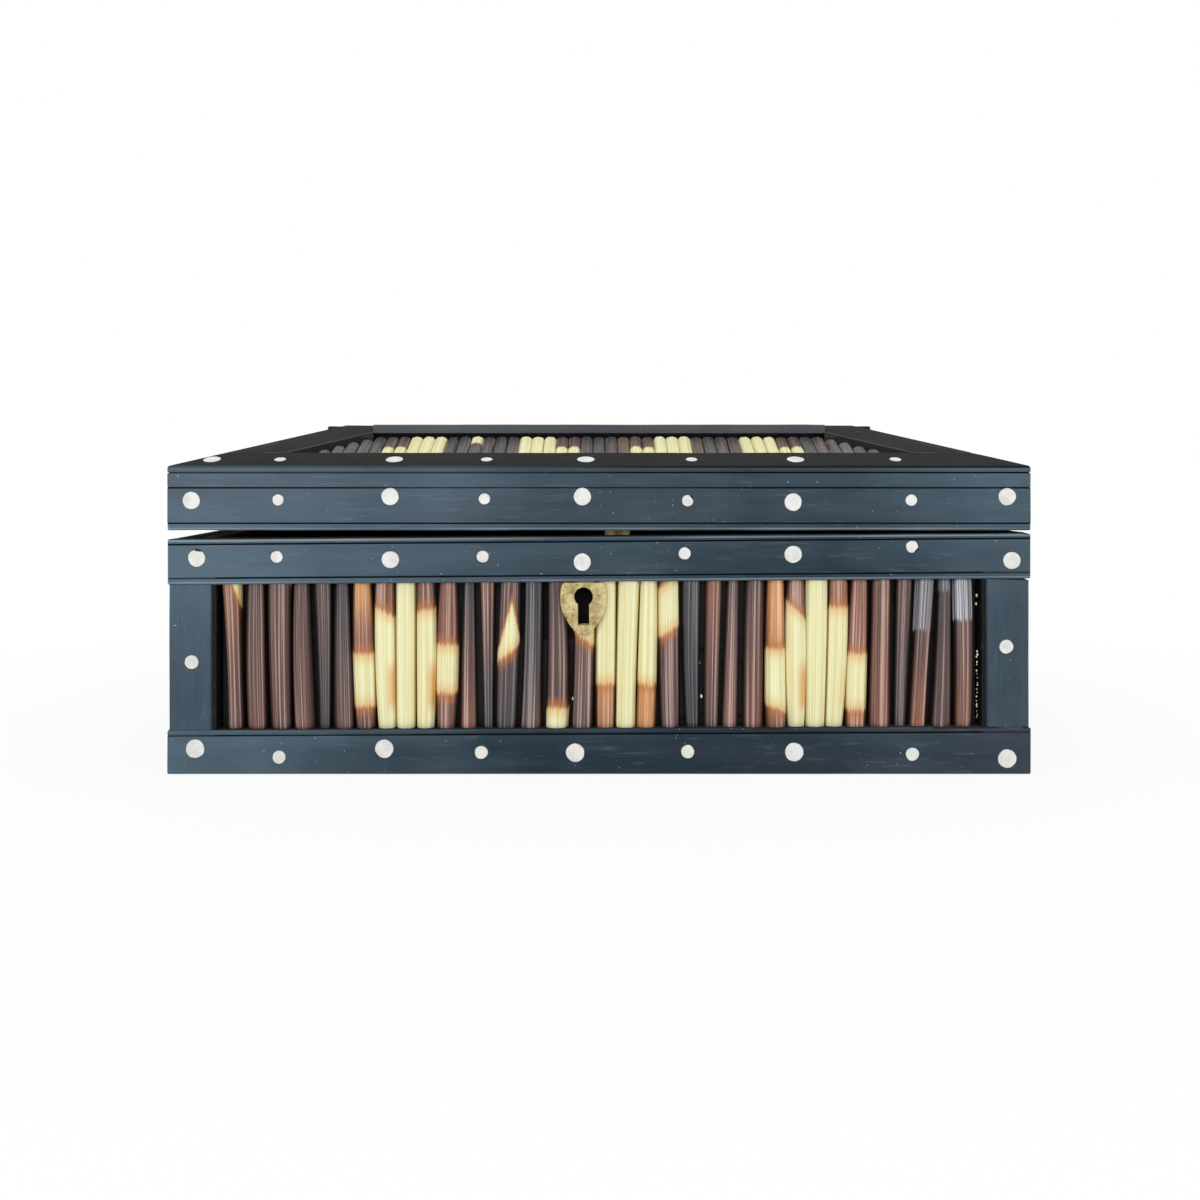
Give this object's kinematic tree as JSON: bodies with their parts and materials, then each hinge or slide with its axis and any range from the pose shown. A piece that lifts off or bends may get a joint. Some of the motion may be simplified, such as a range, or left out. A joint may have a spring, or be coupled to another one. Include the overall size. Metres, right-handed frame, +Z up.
{
  "type": "keepsake box",
  "caption": "Hinged box for papers and keepsakes: ebony strips framing rows of porcupine quills, round bone inlays, a hipped lid and a small front lock with a shield-shaped keyhole plate.",
  "frame": {"origin": "under the middle of the box, on the surface it stands on", "axes": "+X to the right along the front, +Y from the front to the back where the hinges are, +Z up"},
  "size_m": [0.24, 0.17, 0.0984],
  "materials": {
    "ebony": "oiled, worn to a low sheen",
    "inner_wood": "plain planed wood",
    "bone": "polished bone",
    "quill": "natural glossy quill, cream and brown",
    "brass": "aged brass",
    "iron": "dull iron"
  },
  "bodies": {
    "base": {"bottom_board": "inner_wood", "board_front": "inner_wood", "board_back": "inner_wood", "board_left": "inner_wood", "board_right": "inner_wood", "foot_strip_front": "ebony", "foot_strip_back": "ebony", "foot_strip_left": "ebony", "foot_strip_right": "ebony", "rim_strip_front": "ebony", "rim_strip_back": "ebony", "rim_strip_left": "ebony", "rim_strip_right": "ebony", "corner_stiles": "ebony", "quills_front": "quill", "quills_back": "quill", "quills_left": "quill", "quills_right": "quill", "base_discs": "bone", "keyhole_plate": "brass", "lock_case": "brass", "lock_back_plate": "brass", "lock_posts": "iron", "lock_spring": "iron", "lock_screws": "iron", "hinge_base_leaves": "brass", "hinge_pins": "iron", "hinge_base_screws": "iron"},
    "lid": {"frieze_strip_front": "ebony", "frieze_strip_back": "ebony", "frieze_strip_left": "ebony", "frieze_strip_right": "ebony", "eave_strip_front": "ebony", "eave_strip_back": "ebony", "eave_strip_left": "ebony", "eave_strip_right": "ebony", "hip_strips": "ebony", "top_frame": "ebony", "roof_board_front": "inner_wood", "roof_board_back": "inner_wood", "roof_board_left": "inner_wood", "roof_board_right": "inner_wood", "top_board": "inner_wood", "lid_boards": "inner_wood", "roof_quills_front": "quill", "roof_quills_back": "quill", "roof_quills_left": "quill", "roof_quills_right": "quill", "top_quills": "quill", "frieze_discs": "bone", "roof_discs": "bone", "top_discs": "bone", "lid_catch": "brass", "catch_screws": "iron", "hinge_lid_leaves": "brass", "hinge_lid_screws": "iron"},
    "bolt": {"lock_bolt": "iron"}
  },
  "joints": [
    {"name": "lid_hinge", "type": "hinge", "parent": "base", "child": "lid", "pos_m": [0, 0.0832, 0.06742], "axis": [-1, 0, 0], "range_deg": [0, 95]},
    {"name": "bolt_slide", "type": "slide", "parent": "base", "child": "bolt", "axis": [1, 0, 0], "range_m": [0, 0.005]}
  ]
}
